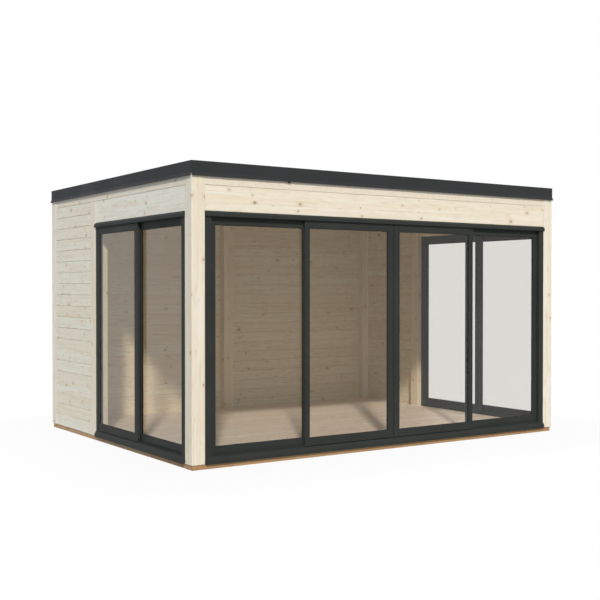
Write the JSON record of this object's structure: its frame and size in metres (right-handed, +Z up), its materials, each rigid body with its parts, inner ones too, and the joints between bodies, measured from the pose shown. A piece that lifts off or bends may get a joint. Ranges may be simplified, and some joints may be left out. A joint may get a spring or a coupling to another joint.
{
  "type": "garden office pod",
  "caption": "Flat-roofed timber garden room on a beam base, with boarded walls, dark sheet roof edge and glazed sliding doors on the front and both sides.",
  "frame": {"origin": "middle of the footprint on the ground", "axes": "+X to the right along the front as seen from outside, +Y from the front to the back, +Z up"},
  "size_m": [3.97, 3.02, 2.36],
  "materials": {
    "wall_timber": "planed pale spruce",
    "floor_timber": "planed pale spruce boards",
    "base_timber": "brown pressure-treated timber",
    "door_frame": "matt anthracite powder coat",
    "roof_edge": "satin anthracite sheet",
    "roof_membrane": "matt roofing membrane",
    "glass": "clear",
    "roller": "nylon"
  },
  "bodies": {
    "room": {"back_beam": "wall_timber", "back_corner_posts": "wall_timber", "back_fascia": "roof_edge", "back_wall_boards": "wall_timber", "base_cross_beams": "base_timber", "base_long_beams": "base_timber", "floor_deck": "floor_timber", "front_corner_posts": "wall_timber", "front_fascia": "roof_edge", "front_fixed_glass": "glass", "front_fixed_sashes": "door_frame", "front_frame_head": "door_frame", "front_frame_jambs": "door_frame", "front_frame_sill": "door_frame", "front_header_beam": "wall_timber", "left_fascia": "roof_edge", "left_frame_head": "door_frame", "left_frame_jambs": "door_frame", "left_frame_sill": "door_frame", "right_fascia": "roof_edge", "right_frame_head": "door_frame", "right_frame_jambs": "door_frame", "right_frame_sill": "door_frame", "roof_deck": "wall_timber", "roof_kerb": "wall_timber", "roof_membrane": "roof_membrane", "roof_rafters": "wall_timber", "side_fixed_glass": "glass", "side_fixed_sashes": "door_frame", "side_header_beams": "wall_timber", "side_wall_boards": "wall_timber", "top_plates": "wall_timber", "wall_posts": "wall_timber"},
    "front_left_door": {"front_left_sliding_sash": "door_frame", "front_left_sliding_glass": "glass", "front_left_rollers": "roller"},
    "front_right_door": {"front_right_sliding_sash": "door_frame", "front_right_sliding_glass": "glass", "front_right_rollers": "roller"},
    "left_door": {"left_sliding_sash": "door_frame", "left_sliding_glass": "glass", "left_rollers": "roller"},
    "right_door": {"right_sliding_sash": "door_frame", "right_sliding_glass": "glass", "right_rollers": "roller"}
  },
  "joints": [
    {"name": "front_left_slide", "type": "slide", "parent": "room", "child": "front_left_door", "axis": [-1, 0, 0], "range_m": [0, 0.855]},
    {"name": "front_right_slide", "type": "slide", "parent": "room", "child": "front_right_door", "axis": [1, 0, 0], "range_m": [0, 0.855]},
    {"name": "left_door_slide", "type": "slide", "parent": "room", "child": "left_door", "axis": [0, -1, 0], "range_m": [0, 0.785]},
    {"name": "right_door_slide", "type": "slide", "parent": "room", "child": "right_door", "axis": [0, 1, 0], "range_m": [0, 0.785]}
  ]
}
